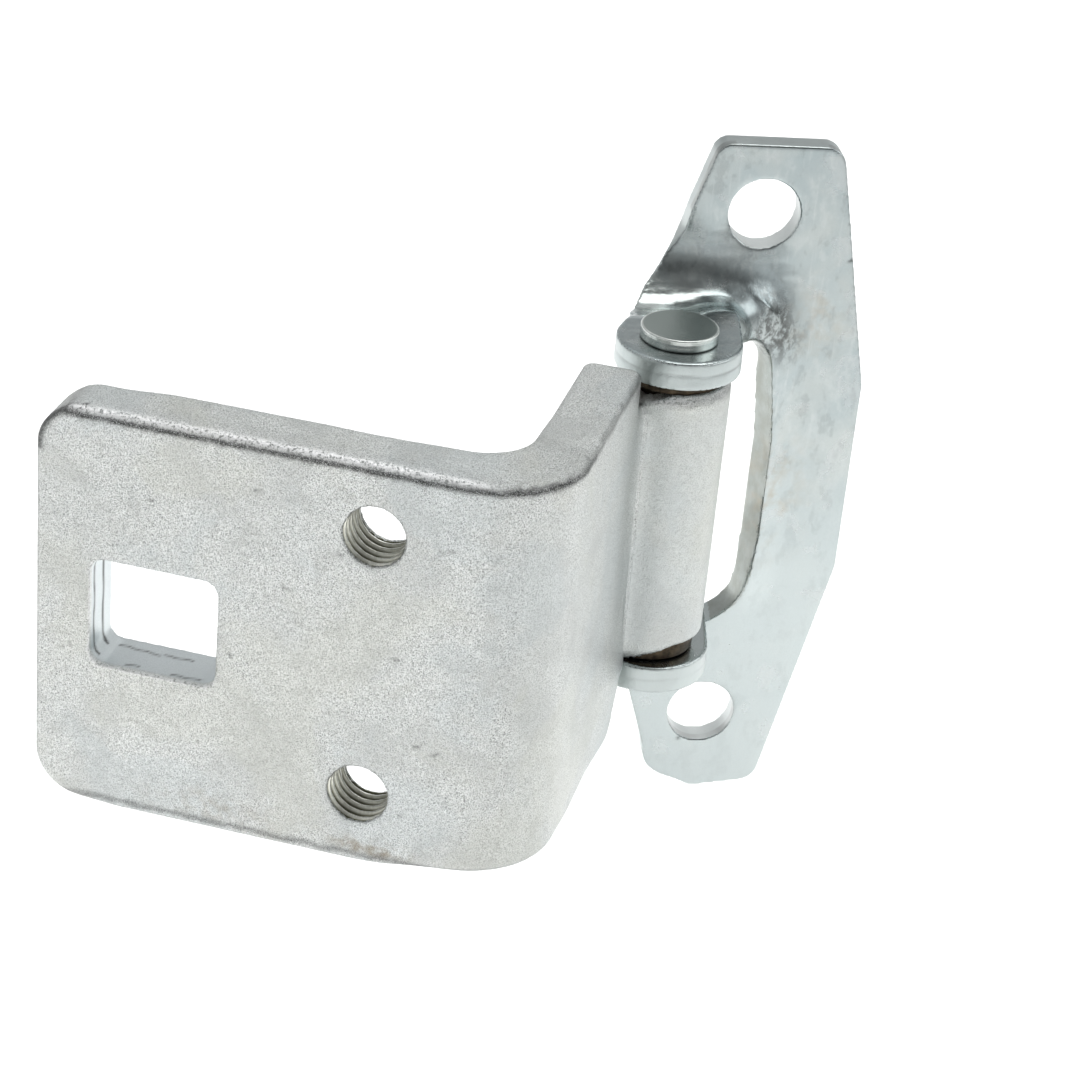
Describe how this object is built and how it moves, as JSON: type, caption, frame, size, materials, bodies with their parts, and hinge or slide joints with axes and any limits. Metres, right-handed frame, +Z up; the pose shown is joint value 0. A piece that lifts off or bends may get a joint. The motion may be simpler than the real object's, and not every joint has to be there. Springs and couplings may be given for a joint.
{
  "type": "car door hinge",
  "caption": "Steel door hinge: a thick L-shaped door leaf with tapped holes turns on a headed pin between the folded ears of a bolt-on pillar bracket.",
  "frame": {"origin": "middle of the two pillar bolt holes, on the mounting face of the pillar bracket", "axes": "+Z up along the hinge pin; +Y out of the mounting face, into the pillar; the ears and the door leaf are on the -Y side"},
  "size_m": [0.1254, 0.0724, 0.1132],
  "materials": {
    "bracket_zinc": "bright zinc plate over smooth pressed steel",
    "pin_steel": "smooth turned steel",
    "leaf_zinc": "zinc plate over shot-blasted forged steel, fine speckle",
    "bush_bronze": "dull sintered bronze"
  },
  "bodies": {
    "bracket": {"pillar_bracket": "bracket_zinc", "hinge_pin": "pin_steel"},
    "leaf": {"door_leaf": "leaf_zinc", "upper_bush": "bush_bronze", "lower_bush": "bush_bronze"}
  },
  "joints": [
    {"name": "door_swing", "type": "hinge", "parent": "bracket", "child": "leaf", "pos_m": [-0.01545, -0.0266, 0.006], "axis": [0, 0, 1], "range_deg": [-25, 55]}
  ]
}
